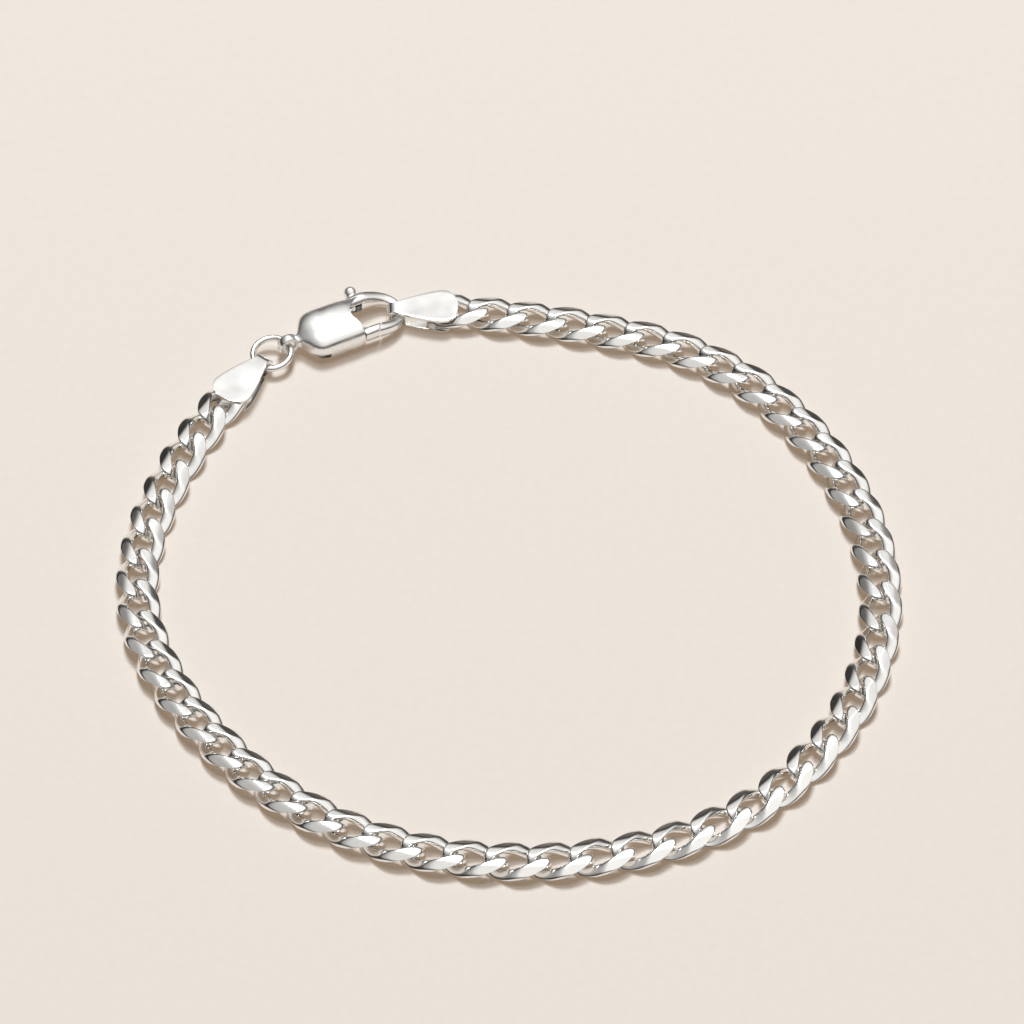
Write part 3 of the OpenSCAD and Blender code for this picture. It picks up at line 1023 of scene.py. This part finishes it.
def studio_world(s):
    """A sky for the metal to mirror, dark along the horizon and brighter upwards and to the right."""
    # From the horizon up: the sine of the height, and the sky's colour there
    upwards = (
        (0, (0.24, 0.2, 0.17)),
        (0.2, (0.075, 0.072, 0.069)),
        (0.42, (0.055, 0.053, 0.051)),
        (0.56, (0.5, 0.48, 0.46)),
        (0.68, (0.8, 0.78, 0.76)),
        (0.76, (0.86, 0.85, 0.84)),
        (0.9, (0.96, 0.94, 0.91)),
    )
    # From left to right: the share of the way, and what the sky is multiplied by there
    sideways = ((0.22, 0.5), (0.46, 1), (0.75, 1.1))
    world = bpy.data.worlds.new("studio")
    world.use_nodes = True
    tree = world.node_tree
    link = tree.links.new
    where = node_at(tree, "ShaderNodeTexCoord")
    split = node_at(tree, "ShaderNodeSeparateXYZ")
    rising = ramp_at(tree, upwards)
    across = ramp_at(tree, [(at, [k] * 3) for at, k in sideways])
    # The way across runs from 0 to 1, where the direction's x runs from -1 to 1
    side = node_at(tree, "ShaderNodeMath", operation="MULTIPLY_ADD")
    side.inputs[1].default_value = 0.5
    side.inputs[2].default_value = 0.5
    both = node_at(tree, "ShaderNodeVectorMath", operation="MULTIPLY")
    background = tree.nodes["Background"]
    background.inputs["Strength"].default_value = s.sky
    link(where.outputs["Generated"], split.inputs["Vector"])
    link(split.outputs["Z"], rising.inputs["Fac"])
    link(split.outputs["X"], side.inputs[0])
    link(side.outputs["Value"], across.inputs["Fac"])
    link(rising.outputs["Color"], both.inputs[0])
    link(across.outputs["Color"], both.inputs[1])
    link(both.outputs["Vector"], background.inputs["Color"])
    # The metal mirrors this sky, but it doesn't light the table
    world.cycles_visibility.diffuse = False
    return world


def add_table(looks):
    """The table, just below the bracelet's lowest faces."""
    # Half its side, and how far below it lies, in metres
    half, drop = 0.4, 0.00002
    bm = bmesh.new()
    bmesh.ops.create_grid(bm, x_segments=1, y_segments=1, size=half)
    bmesh.ops.translate(bm, vec=(0, 0, -drop), verts=bm.verts)
    mesh = bpy.data.meshes.new("table")
    bm.to_mesh(mesh)
    bm.free()
    mesh.materials.append(table_material(looks))
    table = bpy.data.objects.new("table", mesh)
    bpy.context.scene.collection.objects.link(table)


def add_camera(s):
    """The camera, in front of the bracelet and above it."""
    data = bpy.data.cameras.new("camera")
    data.sensor_width = 36
    data.lens = s.lens
    data.clip_start = 0.01
    camera = bpy.data.objects.new("camera", data)
    bpy.context.scene.collection.objects.link(camera)
    back, up = s.away * math.cos(s.rise), s.away * math.sin(s.rise)
    camera.location = (s.aim[0], s.aim[1] - back, up)
    camera.rotation_euler = (math.pi / 2 - s.rise, 0, 0)
    return camera


class BRACELET_OT_stage(bpy.types.Operator):
    """Lay the table and set the lights and the camera"""

    bl_idname = "bracelet.add_stage"
    bl_label = "Table, Lights and Camera"

    def execute(self, context):
        scene = context.scene
        view = scene.bracelet_view
        add_table(scene.bracelet_looks)
        lights = (
            ("back window", view.window_rise, view.window_size, view.window_power, True),
            ("top panel", view.top_rise, view.top_size, view.top_power, False),
            ("back panel", view.back_rise, view.back_size, view.back_power, False),
        )
        for name, rise, side, power, mirrored in lights:
            add_light(view, name, rise, side, power, mirrored)
        scene.world = studio_world(view)
        scene.camera = add_camera(view)
        scene.view_settings.view_transform = "Standard"
        return {"FINISHED"}


class BRACELET_PT_panel(bpy.types.Panel):
    """The steps that build the bracelet, in order"""

    bl_label = "Bracelet"
    bl_idname = "BRACELET_PT_panel"
    bl_space_type = "VIEW_3D"
    bl_region_type = "UI"
    bl_category = "Bracelet"

    def draw(self, context):
        for operator in operators:
            self.layout.operator(operator.bl_idname)


groups = {
    "bracelet_chain": BRACELET_PG_chain,
    "bracelet_tags": BRACELET_PG_tags,
    "bracelet_ring": BRACELET_PG_ring,
    "bracelet_clasp": BRACELET_PG_clasp,
    "bracelet_looks": BRACELET_PG_looks,
    "bracelet_view": BRACELET_PG_view,
}
operators = (
    BRACELET_OT_links,
    BRACELET_OT_tags,
    BRACELET_OT_ring,
    BRACELET_OT_clasp,
    BRACELET_OT_lever,
    BRACELET_OT_stage,
)


def register():
    """Makes the settings, the steps and the panel known to Blender."""
    for group in groups.values():
        bpy.utils.register_class(group)
    for cls in (*operators, BRACELET_PT_panel):
        bpy.utils.register_class(cls)
    for name, group in groups.items():
        setattr(bpy.types.Scene, name, bpy.props.PointerProperty(type=group))


def unregister():
    """Takes them back."""
    for name in groups:
        delattr(bpy.types.Scene, name)
    for cls in (BRACELET_PT_panel, *reversed(operators), *groups.values()):
        bpy.utils.unregister_class(cls)


def main():
    """Builds the bracelet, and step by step."""
    register()
    bpy.ops.bracelet.add_links()
    bpy.ops.bracelet.add_end_tags()
    bpy.ops.bracelet.add_ring()
    bpy.ops.bracelet.add_clasp_body()
    bpy.ops.bracelet.add_lever()
    bpy.ops.bracelet.add_stage()


if __name__ == "__main__":
    main()
